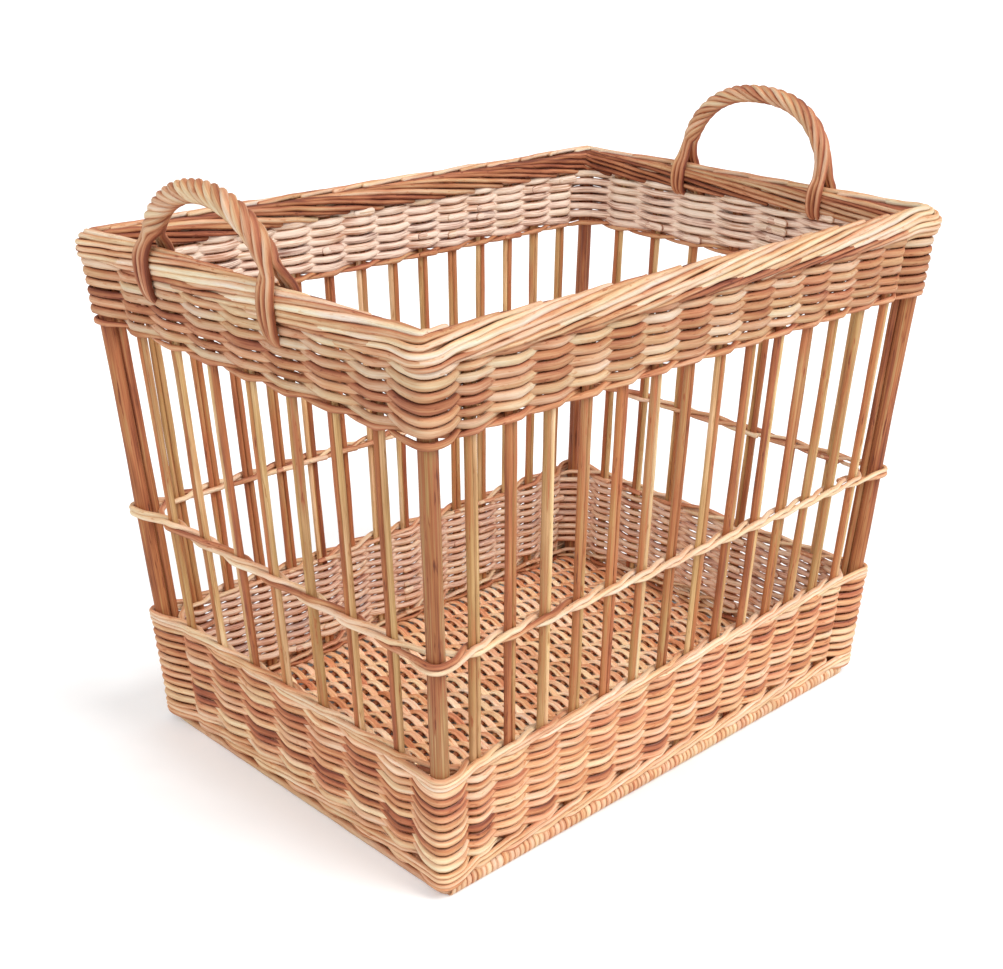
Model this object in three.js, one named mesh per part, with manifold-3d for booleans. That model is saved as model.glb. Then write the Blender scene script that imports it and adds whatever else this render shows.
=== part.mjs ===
import * as THREE from 'three';
import { mergeVertices } from 'three/addons/utils/BufferGeometryUtils.js';
import Module from 'manifold-3d';

// An open wicker basket with flared sides. Millimetres, +Z up, length along X,
// origin at the middle of the resting face.

const wasm = await Module();
wasm.setup();

// Overall size, taken at the centre lines of the corner posts.
const rimHeight = 445;
const baseLength = 501.5;
const baseWidth = 350;
const lengthFlare = 34.75;
const widthFlare = 22.5;

// Fit between pieces that touch.
const fitGap = 0.3;

// Stakes: two rods side by side.
const rodThick = 4.8;
const pairWide = 10.2;
const bevel = 1.3;
const longBays = 15;
const shortBays = 8;

// Corner posts, each with a thinner rod tucked in against it.
const postRadius = 7.25;
const postSides = 16;
const tuckedRadius = 3.3;
const tuckedSides = 8;
const tuckedBed = 0.6;
const tuckedReach = postRadius + tuckedRadius - tuckedBed;

// Heights of the woven courses.
const lipHeight = 7.2;
const floorRise = 4;
const floorHeight = lipHeight + floorRise;
const upsettHeight = 14;
const upsettTop = lipHeight + fitGap + upsettHeight;
const lowerRandHeight = 78.6;
const lowerWaleHeight = 9;
const lowerTop = upsettTop + lowerRandHeight + lowerWaleHeight;
const waistAboveWale = 94.6;
const waistMiddle = lowerTop + waistAboveWale;
const waistHeight = 8.8;
const borderCrest = 1;
const borderTop = rimHeight + borderCrest;
const borderHeight = 22.7;
const borderFoot = borderTop - borderHeight;
const upperRandHeight = 48.9;
const twinedHeight = 6.7;
const twinedTop = borderFoot - upperRandHeight;
const upperFoot = twinedTop - twinedHeight;
const uprightInset = 9;

// Reach of each course out from the stakes' centre line.
const upsettReach = 7.2;
const randReach = 6.75;
const waleReach = 7.6;
const waistReach = 7;
const upperReach = 7.4;
const twinedReach = 6.3;
const borderOut = 9;
const borderIn = 10;

// Rounding of the courses and of the border.
const courseEase = 1.8;
const randDip = 3.4;
const crestHalf = 6.2;
const upsettStep = 1;
const twinedStep = 1.5;
const borderFootEase = { across: 1.5, up: 4 };
const borderSideDrop = 7;
const borderShoulder = { across: 2.6, down: 2.2 };
const borderCrown = 6.5;

// Corners of the courses.
const cornerRun = 26;
const cornerSteps = 4;
const innerCornerWeave = 5.2;
const innerCornerReach = postRadius + 2 * tuckedRadius + innerCornerWeave;
const cutPast = 1;

// Base panel and sticks. The floor is woven over fifteen sticks, of which every third
// is a solid of its own.
const rollReach = 7;
const endReach = 5.6;
const baseCorner = 11;
const baseCornerSteps = 4;
const stickRadius = 3;
const stickSides = 10;
const stickCount = 5;
const stickPitch = 22.8;
const pitchesApart = 3;
const stickSpacing = pitchesApart * stickPitch;
const stickMiddle = 5.6;
const stickEndInset = 10;
const stickMouth = 4.6;

// Rope handles: an arch over a saddle that divides round the border.
const leftArch = { middle: 31, half: 78, foot: rimHeight - 9, rise: 62.5, fullness: 2, radius: 9.4 };
const rightArch = { middle: -11.5, half: 79, foot: rimHeight - 1, rise: 74.3, fullness: 2.3, radius: 8.2 };
const ropeSides = 12;
const ropeSteps = 22;
const saddleShare = 2.2;
const saddleThick = 5.5;
const saddleRise = 6;
const saddleTop = borderTop + saddleRise;
const saddleRound = 3;
const ropeSink = 3;
const tuckDrop = 18.6;
const tuckHeight = 6;
const tuckFoot = borderFoot - tuckDrop;
const tuckTop = tuckFoot + tuckHeight;
const tuckDepth = rodThick / 2 + 1.65;
const tuckRound = 4.5;
const innerTuckFoot = borderFoot - 5.8;

const weaveLook = { colour: 0xd2a06c, roughness: 0.62 };
const stakeLook = { colour: 0xa8693c, roughness: 0.55 };
const postLook = { colour: 0x97603f, roughness: 0.55 };
const borderLook = { colour: 0xe2c394, roughness: 0.55 };
const ropeLook = { colour: 0xcf9f6e, roughness: 0.58 };
const stickLook = { colour: 0xa9794f, roughness: 0.6 };

const basket = new THREE.Group();
basket.name = 'wicker_storage_basket';

const slopeX = lengthFlare / rimHeight;
const slopeY = widthFlare / rimHeight;

function halfLength(z) {
  return baseLength / 2 + slopeX * z;
}

function halfWidth(z) {
  return baseWidth / 2 + slopeY * z;
}

function addPiece(name, geometry, look) {
  const material = new THREE.MeshStandardMaterial({ color: look.colour, roughness: look.roughness });
  const mesh = new THREE.Mesh(geometry, material);
  mesh.name = name;
  basket.add(mesh);
}

// Solids for cutting and joining.
function toSolid(geometry) {
  const bare = geometry.clone();
  bare.deleteAttribute('normal');
  bare.deleteAttribute('uv');
  const joined = mergeVertices(bare, 1e-5);
  return new wasm.Manifold(new wasm.Mesh({
    numProp: 3,
    vertProperties: Float32Array.from(joined.attributes.position.array),
    triVerts: Uint32Array.from(joined.index.array),
  }));
}

function toGeometry(solid) {
  const mesh = solid.getMesh();
  const geometry = new THREE.BufferGeometry();
  geometry.setAttribute('position', new THREE.BufferAttribute(mesh.vertProperties, 3));
  geometry.setIndex(new THREE.BufferAttribute(mesh.triVerts, 1));
  const flat = geometry.toNonIndexed();
  flat.computeVertexNormals();
  return flat;
}

function cutAll(solid, tools) {
  return tools.reduce((left, tool) => left.subtract(tool), solid);
}

// A straight extrusion from zLow to zHigh whose foot is at (x, y) and which leans by
// leanX and leanY per millimetre of height.
function leaning(shape, zLow, zHigh, x, y, leanX, leanY) {
  const geometry = new THREE.ExtrudeGeometry(shape, { depth: zHigh - zLow, bevelEnabled: false });
  geometry.translate(0, 0, zLow);
  const place = geometry.attributes.position;
  for (let i = 0; i < place.count; i += 1) {
    const z = place.getZ(i);
    place.setX(i, place.getX(i) + x + leanX * z);
    place.setY(i, place.getY(i) + y + leanY * z);
  }
  geometry.computeVertexNormals();
  return geometry;
}

// The section of a pair of rods, across the wall along X or along Y.
function pairShape(alongX, clearance) {
  const half = pairWide / 2 + clearance;
  const deep = rodThick / 2 + clearance;
  const points = [
    [half - bevel, -deep],
    [half, -deep + bevel],
    [half, deep - bevel],
    [half - bevel, deep],
    [-half + bevel, deep],
    [-half, deep - bevel],
    [-half, -deep + bevel],
    [-half + bevel, -deep],
  ].map(([a, b]) => (alongX ? new THREE.Vector2(a, b) : new THREE.Vector2(-b, a)));
  return new THREE.Shape(points);
}

// Where each pair of rods stands: its name, foot and lean.
function stakeList() {
  const list = [];
  for (let i = 1; i < longBays; i += 1) {
    const share = (2 * i) / longBays - 1;
    for (const side of [-1, 1]) {
      list.push({
        name: `stake_${side < 0 ? 'front' : 'back'}_${i}`,
        alongX: true,
        x: (share * baseLength) / 2,
        y: (side * baseWidth) / 2,
        leanX: share * slopeX,
        leanY: side * slopeY,
      });
    }
  }
  for (let i = 1; i < shortBays; i += 1) {
    const share = (2 * i) / shortBays - 1;
    for (const side of [-1, 1]) {
      list.push({
        name: `stake_${side < 0 ? 'left' : 'right'}_${i}`,
        alongX: false,
        x: (side * baseLength) / 2,
        y: (share * baseWidth) / 2,
        leanX: side * slopeX,
        leanY: share * slopeY,
      });
    }
  }
  return list;
}

const stakes = stakeList();
const corners = [
  { name: 'post_front_left', sx: -1, sy: -1 },
  { name: 'post_front_right', sx: 1, sy: -1 },
  { name: 'post_back_right', sx: 1, sy: 1 },
  { name: 'post_back_left', sx: -1, sy: 1 },
];
const uprightFoot = lipHeight + fitGap;
const uprightTop = rimHeight - uprightInset;

function stakeSolid(stake, clearance, zLow, zHigh) {
  const shape = pairShape(stake.alongX, clearance);
  return leaning(shape, zLow, zHigh, stake.x, stake.y, stake.leanX, stake.leanY);
}

function roundShape(radius, sides) {
  const shape = new THREE.Shape();
  for (let i = 0; i < sides; i += 1) {
    const angle = ((i + 0.5) * 2 * Math.PI) / sides;
    const x = radius * Math.cos(angle);
    const y = radius * Math.sin(angle);
    if (i === 0) {
      shape.moveTo(x, y);
    } else {
      shape.lineTo(x, y);
    }
  }
  return shape;
}

// A corner post with the rod tucked in on its inner side.
function postSolid(corner, clearance, zLow, zHigh) {
  const x = (corner.sx * baseLength) / 2;
  const y = (corner.sy * baseWidth) / 2;
  const leanX = corner.sx * slopeX;
  const leanY = corner.sy * slopeY;
  const inX = (-corner.sx * tuckedReach) / Math.SQRT2;
  const inY = (-corner.sy * tuckedReach) / Math.SQRT2;
  const mainShape = roundShape(postRadius + clearance, postSides);
  const tuckedShape = roundShape(tuckedRadius + clearance, tuckedSides);
  const main = leaning(mainShape, zLow, zHigh, x, y, leanX, leanY);
  const tucked = leaning(tuckedShape, zLow, zHigh, x + inX, y + inY, leanX, leanY);
  return toSolid(main).add(toSolid(tucked));
}

// One turn round the basket at height z, reach outside the stakes' line (negative is inside).
// Outside it swells round the posts; inside it cuts across the corners, cornerReach from them.
function outline(z, reach, cornerReach = innerCornerReach) {
  const points = [];
  const outside = reach > 0;
  for (const [sx, sy] of [[1, -1], [1, 1], [-1, 1], [-1, -1]]) {
    const cx = sx * halfLength(z);
    const cy = sy * halfWidth(z);
    const startsAlongX = sx * sy < 0;
    const swell = postRadius + Math.abs(reach) - rodThick / 2;
    const turn = [];
    if (outside) {
      turn.push([-cornerRun, reach]);
      for (let i = 0; i <= cornerSteps; i += 1) {
        const angle = (Math.PI / 2) * (1 - i / cornerSteps);
        turn.push([swell * Math.cos(angle), swell * Math.sin(angle)]);
      }
      turn.push([reach, -cornerRun]);
    } else {
      const back = cornerReach * Math.SQRT2 + reach;
      const last = cornerSteps + 2;
      for (let i = 0; i <= last; i += 1) {
        const share = i / last;
        turn.push([-back + (back + reach) * share, reach + (-back - reach) * share]);
      }
    }
    for (const [a, b] of turn) {
      points.push(startsAlongX ? [cx + sx * a, cy + sy * b] : [cx + sx * b, cy + sy * a]);
    }
  }
  return points;
}

// The same turn for a plain weave, which bulges at each stake and dips by dip between stakes.
function wovenOutline(z, reach, dip) {
  const turns = outline(z, reach);
  const perCorner = turns.length / 4;
  const dipped = reach - Math.sign(reach) * dip;
  const points = [];
  for (const [k, [sx, sy]] of [[1, -1], [1, 1], [-1, 1], [-1, -1]].entries()) {
    points.push(...turns.slice(k * perCorner, (k + 1) * perCorner));
    const alongY = k % 2 === 0;
    const bays = alongY ? shortBays : longBays;
    const half = alongY ? halfWidth(z) : halfLength(z);
    const wall = alongY ? halfLength(z) : halfWidth(z);
    const side = alongY ? sx : sy;
    for (let i = 1; i < bays; i += 1) {
      const stake = ((2 * i) / bays - 1) * half;
      const marks = [[stake - crestHalf, reach], [stake + crestHalf, reach]];
      if (i < bays - 1) {
        marks.push([stake + half / bays, dipped]);
      }
      for (const [run, out] of marks) {
        points.push(alongY ? [side * (wall + out), side * run] : [-side * run, side * (wall + out)]);
      }
    }
  }
  return points;
}

// A closed ring swept round the basket. The profile lists [reach, z] corners, anticlockwise
// when outward is to the right, and line gives each corner's turn round the basket.
function ring(profile, line = outline) {
  const loops = profile.map(([reach, z, dip]) => line(z, reach, dip).map(([x, y]) => [x, y, z]));
  const around = loops[0].length;
  const places = loops.flat(2);
  const index = [];
  for (let p = 0; p < profile.length; p += 1) {
    const q = (p + 1) % profile.length;
    for (let i = 0; i < around; i += 1) {
      const j = (i + 1) % around;
      const a = p * around + i;
      const b = p * around + j;
      const c = q * around + j;
      const d = q * around + i;
      index.push(a, b, c, a, c, d);
    }
  }
  const geometry = new THREE.BufferGeometry();
  geometry.setAttribute('position', new THREE.BufferAttribute(new Float32Array(places), 3));
  geometry.setIndex(index);
  return toSolid(geometry);
}

// The channels that the stakes and posts pass through.
function channels(zLow, zHigh) {
  const tools = stakes.map((stake) => toSolid(stakeSolid(stake, fitGap, zLow, zHigh)));
  for (const corner of corners) {
    tools.push(postSolid(corner, fitGap, zLow, zHigh));
  }
  return tools;
}

function course(profile, zLow, zHigh, line) {
  return cutAll(ring(profile, line), channels(zLow - cutPast, zHigh + cutPast));
}

// Base: a thin rim under the wall and a thicker floor inside it, with grooves for the sticks.
function baseOutline() {
  const shape = new THREE.Shape();
  const x = baseLength / 2 + endReach;
  const y = baseWidth / 2 + rollReach;
  const r = baseCorner;
  shape.moveTo(-x + r, -y);
  shape.lineTo(x - r, -y);
  shape.absarc(x - r, -y + r, r, -Math.PI / 2, 0, false);
  shape.lineTo(x, y - r);
  shape.absarc(x - r, y - r, r, 0, Math.PI / 2, false);
  shape.lineTo(-x + r, y);
  shape.absarc(-x + r, y - r, r, Math.PI / 2, Math.PI, false);
  shape.lineTo(-x, -y + r);
  shape.absarc(-x + r, -y + r, r, Math.PI, 1.5 * Math.PI, false);
  return shape;
}

function extruded(shape, zLow, zHigh) {
  const geometry = new THREE.ExtrudeGeometry(shape, {
    depth: zHigh - zLow,
    bevelEnabled: false,
    curveSegments: baseCornerSteps,
  });
  geometry.translate(0, 0, zLow);
  return toSolid(geometry);
}

const stickHalf = baseLength / 2 - stickEndInset;

function stickSolid(y, clearance) {
  const length = 2 * (stickHalf + clearance);
  const shape = roundShape(stickRadius + clearance, stickSides);
  const geometry = new THREE.ExtrudeGeometry(shape, { depth: length, bevelEnabled: false });
  geometry.translate(0, 0, -length / 2);
  geometry.rotateY(Math.PI / 2);
  geometry.translate(0, y, stickMiddle);
  return geometry;
}

function stickPlaces() {
  return Array.from({ length: stickCount }, (unused, i) => (i - (stickCount - 1) / 2) * stickSpacing);
}

function baseWeave() {
  const floorLine = outline(lipHeight, -upsettReach - fitGap, innerCornerReach + fitGap);
  const floorEdge = new THREE.Shape(floorLine.map(([x, y]) => new THREE.Vector2(x, y)));
  const rim = extruded(baseOutline(), 0, lipHeight);
  let solid = rim.add(extruded(floorEdge, lipHeight / 2, floorHeight));
  for (const y of stickPlaces()) {
    const mouth = new THREE.BoxGeometry(2 * (stickHalf + fitGap), stickMouth, stickMiddle);
    mouth.translate(0, y, 0);
    solid = solid.subtract(toSolid(stickSolid(y, fitGap))).subtract(toSolid(mouth));
  }
  return toGeometry(solid);
}

// Wall courses, from the base up.
function lowerRand() {
  const low = lipHeight + fitGap;
  const high = lowerTop - lowerWaleHeight;
  const profile = [
    [-upsettReach, low, 0],
    [upsettReach, low, 0],
    [upsettReach, upsettTop, 0],
    [randReach, upsettTop + upsettStep, randDip],
    [randReach, high, randDip],
    [-randReach, high, randDip],
    [-randReach, upsettTop + upsettStep, randDip],
    [-upsettReach, upsettTop, 0],
  ];
  return toGeometry(course(profile, low, high, wovenOutline));
}

function roundedCourse(low, high, reach) {
  return [
    [-reach + courseEase, low],
    [reach - courseEase, low],
    [reach, low + courseEase],
    [reach, high - courseEase],
    [reach - courseEase, high],
    [-reach + courseEase, high],
    [-reach, high - courseEase],
    [-reach, low + courseEase],
  ];
}

function lowerWale() {
  const low = lowerTop - lowerWaleHeight + fitGap;
  return toGeometry(course(roundedCourse(low, lowerTop, waleReach), low, lowerTop));
}

function waistPairing() {
  const low = waistMiddle - waistHeight / 2;
  const high = waistMiddle + waistHeight / 2;
  return toGeometry(course(roundedCourse(low, high, waistReach), low, high));
}

// Shallow pockets where the handle strands are tucked into the wall: inside right under
// the border, outside lower down.
function tuckPockets() {
  const pockets = [];
  for (const [side, arch] of [[-1, leftArch], [1, rightArch]]) {
    for (const end of [-1, 1]) {
      for (const [face, low, high] of [[-1, innerTuckFoot, borderFoot], [1, tuckFoot, tuckTop + fitGap]]) {
        const section = [
          [face * (tuckDepth - fitGap), low - fitGap],
          [face * (tuckDepth + upperReach), low - fitGap],
          [face * (tuckDepth + upperReach), high],
          [face * (tuckDepth - fitGap), high],
        ];
        const wide = saddleShare * arch.radius + 2 * fitGap;
        pockets.push(toSolid(acrossWall(section, side, arch.middle + end * arch.half, wide)));
      }
    }
  }
  return pockets;
}

function upperRand() {
  const high = borderFoot - fitGap;
  const profile = [
    [-twinedReach, upperFoot],
    [twinedReach, upperFoot],
    [twinedReach, twinedTop],
    [upperReach, twinedTop + twinedStep],
    [upperReach, high],
    [-upperReach, high],
    [-upperReach, twinedTop + twinedStep],
    [-twinedReach, twinedTop],
  ];
  return toGeometry(cutAll(course(profile, upperFoot, high), tuckPockets()));
}

// The rolled border: a rounded ring, hollow underneath where the uprights end in it.
function borderProfile() {
  return [
    [-borderIn + borderFootEase.across, borderFoot],
    [borderOut - borderFootEase.across, borderFoot],
    [borderOut, borderFoot + borderFootEase.up],
    [borderOut, borderTop - borderSideDrop],
    [borderOut - borderShoulder.across, borderTop - borderShoulder.down],
    [borderOut - borderCrown, borderTop],
    [-borderIn + borderCrown, borderTop],
    [-borderIn + borderShoulder.across, borderTop - borderShoulder.down],
    [-borderIn, borderTop - borderSideDrop],
    [-borderIn, borderFoot + borderFootEase.up],
  ];
}

function border() {
  return toGeometry(cutAll(ring(borderProfile()), channels(borderFoot - cutPast, uprightTop + fitGap)));
}

// A flat section of [reach, z] corners on a short side, wide millimetres along the wall.
function acrossWall(section, side, y, wide) {
  const shape = new THREE.Shape(section.map(([reach, z]) => new THREE.Vector2(side * reach, z)));
  const geometry = new THREE.ExtrudeGeometry(shape, { depth: wide, bevelEnabled: false });
  geometry.rotateX(Math.PI / 2);
  geometry.translate(0, y + wide / 2, 0);
  const place = geometry.attributes.position;
  for (let i = 0; i < place.count; i += 1) {
    place.setX(i, place.getX(i) + side * halfLength(place.getZ(i)));
  }
  return geometry;
}

// The strands where they divide over the border and are tucked in below it.
function saddle(side, arch, end) {
  const out = borderOut + fitGap;
  const inward = borderIn + fitGap;
  const low = borderFoot - fitGap;
  const high = borderTop + fitGap;
  const beside = upperReach + fitGap;
  const section = [
    [-inward - saddleThick, low],
    [-inward - saddleThick + tuckRound, innerTuckFoot],
    [-tuckDepth, innerTuckFoot],
    [-tuckDepth, low],
    [-inward, low],
    [-inward, high - borderSideDrop],
    [-inward + saddleRound, high],
    [out - saddleRound, high],
    [out, high - borderSideDrop],
    [out, low],
    [beside, low],
    [beside, tuckTop],
    [tuckDepth, tuckTop],
    [tuckDepth, tuckFoot],
    [out + saddleThick - tuckRound, tuckFoot],
    [out + saddleThick, tuckTop],
    [out + saddleThick, high],
    [arch.radius, saddleTop],
    [-arch.radius, saddleTop],
    [-inward - saddleThick, high],
  ];
  return toSolid(acrossWall(section, side, arch.middle + end * arch.half, saddleShare * arch.radius));
}

// The arch follows a rounded line between two feet that stand on the saddles.
class Arch extends THREE.Curve {
  constructor(side, arch) {
    super();
    this.side = side;
    this.arch = arch;
    this.power = 2 / arch.fullness;
    this.start = Math.asin(((saddleTop - ropeSink - arch.foot) / arch.rise) ** (1 / this.power));
  }

  getPoint(t, target = new THREE.Vector3()) {
    const angle = this.start + (Math.PI - 2 * this.start) * t;
    const across = Math.abs(Math.cos(angle)) ** this.power * Math.sign(Math.cos(angle));
    const up = Math.sin(angle) ** this.power;
    const z = this.arch.foot + this.arch.rise * up;
    return target.set(this.side * halfLength(z), this.arch.middle + this.arch.half * across, z);
  }
}

function handle(side, arch) {
  const rope = new THREE.ExtrudeGeometry(roundShape(arch.radius, ropeSides), {
    steps: ropeSteps,
    extrudePath: new Arch(side, arch),
    bevelEnabled: false,
  });
  return toGeometry(toSolid(rope)
    .add(saddle(side, arch, -1))
    .add(saddle(side, arch, 1)));
}

addPiece('base_weave', baseWeave(), weaveLook);
stickPlaces().forEach((y, i) => addPiece(`base_stick_${i + 1}`, stickSolid(y, 0), stickLook));
for (const corner of corners) {
  addPiece(corner.name, toGeometry(postSolid(corner, 0, uprightFoot, uprightTop)), postLook);
}
for (const stake of stakes) {
  addPiece(stake.name, stakeSolid(stake, 0, uprightFoot, uprightTop), stakeLook);
}
addPiece('lower_rand', lowerRand(), weaveLook);
addPiece('lower_wale', lowerWale(), borderLook);
addPiece('waist_pairing', waistPairing(), borderLook);
addPiece('upper_rand', upperRand(), weaveLook);
addPiece('border', border(), borderLook);
addPiece('handle_left', handle(-1, leftArch), ropeLook);
addPiece('handle_right', handle(1, rightArch), ropeLook);

export default basket;
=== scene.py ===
import bpy
import math
import random
import numpy as np
from mathutils import Matrix, Vector


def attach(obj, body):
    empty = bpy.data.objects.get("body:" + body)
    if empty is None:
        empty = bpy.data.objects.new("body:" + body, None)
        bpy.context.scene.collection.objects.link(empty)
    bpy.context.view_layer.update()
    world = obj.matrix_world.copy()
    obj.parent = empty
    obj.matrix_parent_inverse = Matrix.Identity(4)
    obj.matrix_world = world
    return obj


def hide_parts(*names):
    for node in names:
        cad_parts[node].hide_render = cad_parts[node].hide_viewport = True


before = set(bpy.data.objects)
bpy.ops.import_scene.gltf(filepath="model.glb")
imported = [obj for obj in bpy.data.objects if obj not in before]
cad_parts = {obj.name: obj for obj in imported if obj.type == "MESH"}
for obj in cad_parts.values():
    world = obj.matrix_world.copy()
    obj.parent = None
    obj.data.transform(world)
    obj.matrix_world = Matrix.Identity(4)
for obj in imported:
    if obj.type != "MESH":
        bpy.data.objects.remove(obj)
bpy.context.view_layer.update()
bpy.ops.object.select_all(action="DESELECT")
chance = random.Random(7)
mm = 0.001

# the basket's own measures in millimetres, the same as in the CAD part
basket = {
    "rim": 445.0,
    "baseHalfLength": 250.75,
    "baseHalfWidth": 175.0,
    "lengthFlare": 34.75,
    "widthFlare": 22.5,
    "longBays": 15,
    "shortBays": 8,
    "rodHalf": 2.4,
    "postRadius": 7.25,
    "tuckedRadius": 3.3,
    "tuckedReach": 9.95,
    "uprightFoot": 7.5,
    "uprightTop": 436.0,
    "stickLevel": 5.6,
    "stickRadius": 2.4,
    "stickHalf": 240.75,
    "stickPitch": 22.8,
    "stickRows": 15,
}
stationCount = 2 * (basket["longBays"] + basket["shortBays"])
stickRows = [basket["stickPitch"] * (row - (basket["stickRows"] - 1) / 2) for row in range(basket["stickRows"])]
# each wall: first station, bays, direction of travel, outward
walls = [
    (0, basket["longBays"], (1, 0), (0, -1)),
    (basket["longBays"], basket["shortBays"], (0, 1), (1, 0)),
    (basket["longBays"] + basket["shortBays"], basket["longBays"], (-1, 0), (0, 1)),
    (stationCount - basket["shortBays"], basket["shortBays"], (0, -1), (-1, 0)),
]
cornerStations = {wall[0]: index for index, wall in enumerate(walls)}


def cornerAt(index, z):  # the middle of the post where a wall starts
    signX, signY = ((-1, -1), (1, -1), (1, 1), (-1, 1))[index % 4]
    share = z / basket["rim"]
    return np.array([
        signX * (basket["baseHalfLength"] + basket["lengthFlare"] * share),
        signY * (basket["baseHalfWidth"] + basket["widthFlare"] * share),
    ])


def wallPoint(station, offset, z, shift=0.0):  # offset is outwards, shift is along the wall
    station = station % stationCount
    index = max(number for number, wall in enumerate(walls) if station >= wall[0])
    first, bays, along, outward = walls[index]
    start, end = cornerAt(index, z), cornerAt(index + 1, z)
    place = start + (end - start) * ((station - first) / bays)
    place = place + np.array(along) * shift + np.array(outward) * offset
    return [place[0], place[1], z]


def cornerPoint(index, angle, radius, z):  # round the outside of a post
    arriving, leaving = np.array(walls[(index - 1) % 4][3]), np.array(walls[index % 4][3])
    turn = math.radians(angle)
    place = cornerAt(index, z) + radius * (math.cos(turn) * arriving + math.sin(turn) * leaving)
    return [place[0], place[1], z]


def cornerInside(index, reach, shift, z):  # past the tucked rod on the inside of a post
    arriving, leaving = walls[(index - 1) % 4], walls[index % 4]
    inwards = -(np.array(arriving[3]) + np.array(leaving[3])) / math.sqrt(2)
    along = (np.array(arriving[2]) + np.array(leaving[2])) / math.sqrt(2)
    place = cornerAt(index, z) + inwards * reach + along * shift
    return [place[0], place[1], z]


class Wire:
    # one value, colour or shader on its way through a material
    def __init__(self, finish, socket):
        self.finish = finish
        self.socket = socket

    def reckon(self, operation, first, second):
        return self.finish.node("ShaderNodeMath", {"operation": operation}, {0: first, 1: second})

    def __add__(self, other):
        return self.reckon("ADD", self, other)

    def __radd__(self, other):
        return self.reckon("ADD", other, self)

    def __sub__(self, other):
        return self.reckon("SUBTRACT", self, other)

    def __mul__(self, other):
        return self.reckon("MULTIPLY", self, other)

    def beside(self, output):  # another output of the node that this comes from
        return Wire(self.finish, self.socket.node.outputs[output])


class Finish:
    # a material or the surround, built up node by node
    def __init__(self, owner):
        self.owner = owner
        self.owner.use_nodes = True
        self.tree = self.owner.node_tree
        self.tree.nodes.clear()

    def node(self, kind, settings, sockets, output=0):
        made = self.tree.nodes.new(kind)
        for name, value in settings.items():
            if name == "stops":
                while len(made.color_ramp.elements) < len(value):
                    made.color_ramp.elements.new(1.0)
                for stop, (at, colour) in zip(made.color_ramp.elements, value):
                    stop.position = at
                    stop.color = colour
            else:
                setattr(made, name, value)
        for name, value in sockets.items():
            if isinstance(value, Wire):
                self.tree.links.new(value.socket, made.inputs[name])
            else:
                made.inputs[name].default_value = value
        return Wire(self, made.outputs[output])

    def mixed(self, share, first, second):
        settings = {"data_type": "RGBA"}
        return self.node("ShaderNodeMix", settings, {0: share, 6: first, 7: second}, 2)

    def scaled(self, vector, amount):
        return self.node("ShaderNodeVectorMath", {"operation": "SCALE"}, {"Vector": vector, "Scale": amount})

    def times(self, first, second):  # two vectors or colours
        return self.node("ShaderNodeVectorMath", {"operation": "MULTIPLY"}, {0: first, 1: second})

    def noise(self, place, stretch, detail, roughness):
        stretched = self.times(place, stretch)
        sockets = {"Vector": stretched, "Scale": 1.0, "Detail": detail, "Roughness": roughness}
        return self.node("ShaderNodeTexNoise", {}, sockets)

    def between(self, value, low, high):  # 0 below low, 1 above high, smooth between
        settings = {"interpolation_type": "SMOOTHSTEP"}
        return self.node("ShaderNodeMapRange", settings, {"Value": value, "From Min": low, "From Max": high})

    def shown(self, shader, kind="ShaderNodeOutputMaterial"):
        output = self.tree.nodes.new(kind)
        self.tree.links.new(shader.socket, output.inputs["Surface"])
        return self.owner


def paint(red, green, blue):  # a colour as a picture shows it, turned into light
    channels = [channel / 255 for channel in (red, green, blue)]
    light = [c / 12.92 if c <= 0.04045 else ((c + 0.055) / 1.055) ** 2.4 for c in channels]
    return (*light, 1.0)


willowColours = [  # from the darkest bark stain to the palest peeled rod
    (0.00, paint(122, 64, 46)),
    (0.17, paint(168, 100, 70)),
    (0.34, paint(198, 134, 96)),
    (0.50, paint(217, 168, 130)),
    (0.66, paint(229, 195, 161)),
    (0.82, paint(235, 212, 184)),
    (1.00, paint(239, 228, 211)),
]
stakeColours = [  # bark rods, from red-brown to the tan of a scraped one
    (0.00, paint(104, 56, 38)),
    (0.20, paint(146, 84, 56)),
    (0.40, paint(180, 114, 74)),
    (0.55, paint(182, 140, 94)),
    (0.70, paint(208, 168, 120)),
    (0.85, paint(228, 196, 154)),
    (1.00, paint(240, 220, 188)),
]


hues = {"golden": (0.99, 1.0, 0.90, 1), "rosy": (1.01, 0.955, 0.97, 1), "drift": (0.38, 0.62)}
# the inward side of a strand: a paler pinkish grey tint, and painted light, as brightness above 1 lifts it past its
# colour
innerTintAndLight = {
    "colour": paint(240, 222, 206)[:3], "brightness": 1.20, "streaks": 0.6, "creaseShade": 0.5,
    "patch": (0.22, 0.58), "patchBlotches": 0.6,
}
surface = {
    "stain": (0.60, 0.72), "roughStreaks": 0.25, "gloss": 0.3,
    "bumpDistance": 0.0006, "bumpStreaks": 0.6, "bumpFibres": 0.4,
}
noises = {  # detail and roughness
    "streaks": (4.0, 0.6), "blotches": (2.0, 0.5), "fibres": (3.0, 0.6), "stains": (3.0, 0.6), "drifts": (2.0, 0.5),
}


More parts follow.
